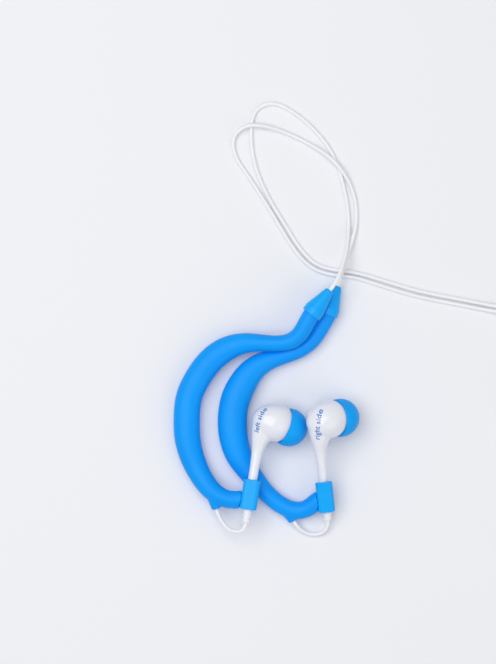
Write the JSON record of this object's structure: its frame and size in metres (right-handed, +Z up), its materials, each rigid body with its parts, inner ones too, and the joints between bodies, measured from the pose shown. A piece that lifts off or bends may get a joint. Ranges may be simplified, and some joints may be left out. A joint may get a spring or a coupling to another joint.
{
  "type": "wired in-ear earphones",
  "caption": "Wired in-ear earphones with soft over-ear hooks, twisting stems in grip collars, silicone tips, thin lead, splitter, slider and a tied cord with a stereo plug.",
  "frame": {"origin": "on the surface, under the middle of the two hook assemblies without their free cords", "axes": "+Z up from the surface, +Y towards the hooks' end caps, +X to the right"},
  "size_m": [0.1381, 0.1673, 0.0174],
  "materials": {
    "blue_silicone": "satin moulded silicone, sky blue",
    "blue_tpe": "satin moulded elastomer, brighter sky blue",
    "tip_silicone": "soft satin silicone, sky blue",
    "white_abs": "polished white moulded housing",
    "white_cable": "white satin cable sheath",
    "white_tpe": "white satin moulded elastomer",
    "black_polymer": "black moulded polymer",
    "plated_steel": "zinc plated pressed steel",
    "nickel_magnet": "nickel plated magnet",
    "copper_wire": "enamelled copper winding",
    "clear_film": "thin polyester film",
    "green_board": "fibre board with solder pads",
    "grey_felt": "acoustic felt",
    "steel_mesh": "woven wax screen",
    "tie_band": "flat black tie",
    "plug_plating": "nickel plated brass contacts"
  },
  "bodies": {
    "root": {"left_ear_hook": "blue_silicone", "left_hook_end_cap": "blue_tpe", "left_cable_grommet": "blue_tpe", "left_stem_collar": "blue_tpe", "left_hook_cable": "white_cable", "left_loop_cable": "white_cable", "left_leg": "white_cable", "right_ear_hook": "blue_silicone", "right_hook_end_cap": "blue_tpe", "right_cable_grommet": "blue_tpe", "right_stem_collar": "blue_tpe", "right_hook_cable": "white_cable", "right_loop_cable": "white_cable", "right_leg": "white_cable", "y_splitter": "white_tpe", "main_cord": "white_cable", "cord_coil": "white_cable", "coil_tie": "tie_band", "plug_tail": "white_cable", "plug_relief": "white_tpe", "plug_grip": "white_tpe", "plug_sleeve": "plug_plating", "plug_insulators": "black_polymer", "plug_ring": "plug_plating", "plug_tip": "plug_plating"},
    "left_stem": {"left_cable_boot": "white_tpe"},
    "left_bud": {"left_rear_shell": "white_abs", "left_front_shell": "white_abs", "left_ear_tip": "tip_silicone", "left_nozzle_mesh": "steel_mesh", "left_stem_cable": "white_cable", "left_driver_frame": "black_polymer", "left_driver_yoke": "plated_steel", "left_driver_magnet": "nickel_magnet", "left_driver_top_plate": "plated_steel", "left_voice_coil": "copper_wire", "left_diaphragm": "clear_film", "left_driver_board": "green_board", "left_rear_damper": "grey_felt"},
    "right_stem": {"right_cable_boot": "white_tpe"},
    "right_bud": {"right_rear_shell": "white_abs", "right_front_shell": "white_abs", "right_ear_tip": "tip_silicone", "right_nozzle_mesh": "steel_mesh", "right_stem_cable": "white_cable", "right_driver_frame": "black_polymer", "right_driver_yoke": "plated_steel", "right_driver_magnet": "nickel_magnet", "right_driver_top_plate": "plated_steel", "right_voice_coil": "copper_wire", "right_diaphragm": "clear_film", "right_driver_board": "green_board", "right_rear_damper": "grey_felt"},
    "slider": {"cinch_slider": "white_tpe"}
  },
  "joints": [
    {"name": "left_stem_slide", "type": "slide", "parent": "root", "child": "left_stem", "axis": [0.1564, 0.9875, 0.0175], "range_m": [-0.0035, 0], "deforming": ["left_loop_cable"]},
    {"name": "left_bud_twist", "type": "hinge", "parent": "left_stem", "child": "left_bud", "pos_m": [-0.00137, -0.0029, 0.00895], "axis": [-0.1564, -0.9875, -0.0175], "range_deg": [-40, 0]},
    {"name": "right_stem_slide", "type": "slide", "parent": "root", "child": "right_stem", "axis": [-0.1094, 0.9458, 0.3057], "range_m": [0, 0.004], "deforming": ["right_loop_cable"]},
    {"name": "right_bud_twist", "type": "hinge", "parent": "right_stem", "child": "right_bud", "pos_m": [0.01553, -0.0036, 0.0129], "axis": [0.1094, -0.9458, -0.3057], "range_deg": [0, 110]},
    {"name": "cinch_slide", "type": "slide", "parent": "root", "child": "slider", "axis": [0.9816, -0.1908, 0], "range_m": [-0.0035, 0.0025]}
  ]
}
